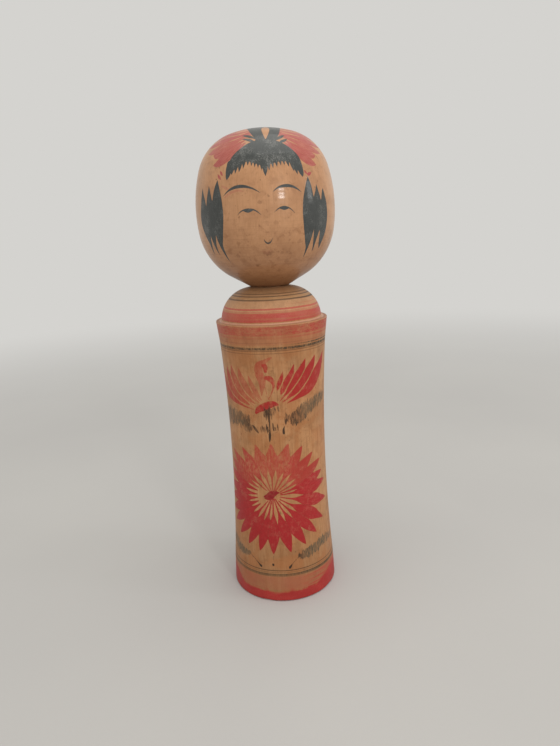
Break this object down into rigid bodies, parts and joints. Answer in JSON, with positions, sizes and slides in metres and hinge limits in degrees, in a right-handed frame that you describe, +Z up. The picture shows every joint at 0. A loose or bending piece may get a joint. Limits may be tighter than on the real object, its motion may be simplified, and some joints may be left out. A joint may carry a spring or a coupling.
{
  "type": "kokeshi doll",
  "caption": "Turned wooden doll with a waisted cylindrical body, a domed shoulder and a rounded head that turns on a plug held in the shoulder.",
  "frame": {"origin": "centre of the flat standing face under the body", "axes": "+Z up along the lathe axis of both pieces; the painted face looks along -Y; +X is the doll's own left side"},
  "size_m": [0.0862, 0.0862, 0.3],
  "materials": {
    "body_wood": "aged waxed pale hardwood, dye-painted rings, flowers and leaves",
    "head_wood": "aged waxed pale hardwood, dye-painted face and hair"
  },
  "bodies": {
    "body": {"body": "body_wood"},
    "head": {"head": "head_wood"}
  },
  "joints": [
    {"name": "head_turn", "type": "hinge", "parent": "body", "child": "head", "pos_m": [0, 0, 0.2], "axis": [0, 0, 1], "continuous": true}
  ]
}
